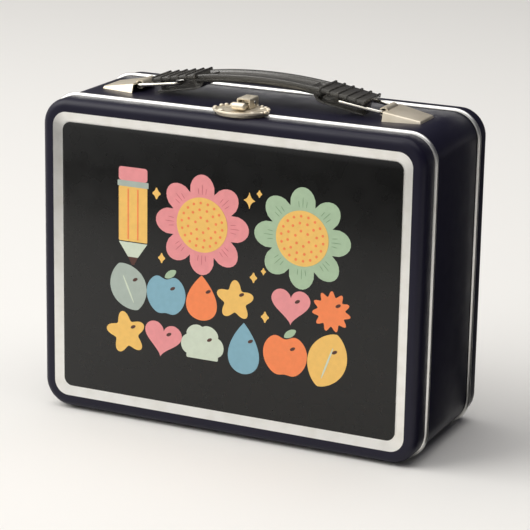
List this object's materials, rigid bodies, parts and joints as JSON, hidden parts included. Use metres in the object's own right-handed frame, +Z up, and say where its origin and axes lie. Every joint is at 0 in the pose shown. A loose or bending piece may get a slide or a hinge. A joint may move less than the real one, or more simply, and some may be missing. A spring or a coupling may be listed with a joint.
{
  "type": "metal lunch box",
  "caption": "Stamped tin lunch box with a hinged front lid, a snap latch, and a plastic grip on two wire bails that lifts off the top.",
  "frame": {"origin": "middle of the footprint, on the surface that the box stands on", "axes": "+X to the right seen from the lid side, -Y the lid side, +Z up"},
  "size_m": [0.2208, 0.09, 0.1882],
  "materials": {
    "navy_enamel": "satin baked enamel on tinplate",
    "bright_tin": "bright tinplate with a fine grain",
    "black_lacquer": "semi-gloss black with a printed picture",
    "nickel": "warm nickel plate",
    "wire_steel": "plated drawn wire",
    "smoke_plastic": "smoke-grey moulded vinyl"
  },
  "bodies": {
    "case": {"body_band": "navy_enamel", "rear_pan": "navy_enamel", "rear_seam_bead": "bright_tin", "neck_strip": "bright_tin", "hinge_leaf_body_left": "bright_tin", "hinge_leaf_body_right": "bright_tin", "hinge_pin_left": "wire_steel", "hinge_pin_right": "wire_steel", "hinge_rivets_body": "nickel", "handle_bracket_left": "nickel", "handle_bracket_right": "nickel", "latch_base": "nickel", "latch_housing": "nickel", "latch_pin": "wire_steel", "latch_spring": "wire_steel", "latch_rivets": "nickel"},
    "lid": {"lid_pan": "navy_enamel", "lid_rim_bead": "bright_tin", "front_plate": "black_lacquer", "hinge_leaf_lid_left": "bright_tin", "hinge_leaf_lid_right": "bright_tin", "hinge_rivets_lid": "nickel", "keeper_plate": "nickel", "keeper_rivets": "nickel"},
    "lever": {"latch_lever": "nickel"},
    "handle": {"grip": "smoke_plastic"},
    "left_wire": {"bail_left": "wire_steel"},
    "right_wire": {"bail_right": "wire_steel"}
  },
  "joints": [
    {"name": "lid_hinge", "type": "hinge", "parent": "case", "child": "lid", "pos_m": [0, -0.031, 0.0014], "axis": [1, 0, 0], "range_deg": [0, 110]},
    {"name": "lever_hinge", "type": "hinge", "parent": "case", "child": "lever", "pos_m": [0.0015, -0.024, 0.1772], "axis": [-1, 0, 0], "range_deg": [0, 26]},
    {"name": "grip_lift", "type": "slide", "parent": "case", "child": "handle", "axis": [0, 0, 1], "range_m": [0, 0.0159]},
    {"name": "left_wire_hinge", "type": "hinge", "parent": "case", "child": "left_wire", "pos_m": [-0.0705, 0, 0.1762], "axis": [0, -1, 0], "range_deg": [0, 41]},
    {"name": "right_wire_hinge", "type": "hinge", "parent": "case", "child": "right_wire", "pos_m": [0.0705, 0, 0.1762], "axis": [0, 1, 0], "range_deg": [0, 41]}
  ],
  "couplings": [
    {"joint": "left_wire_hinge", "follows": "grip_lift", "rad_per_m": 43.9},
    {"joint": "right_wire_hinge", "follows": "grip_lift", "rad_per_m": 43.9}
  ]
}
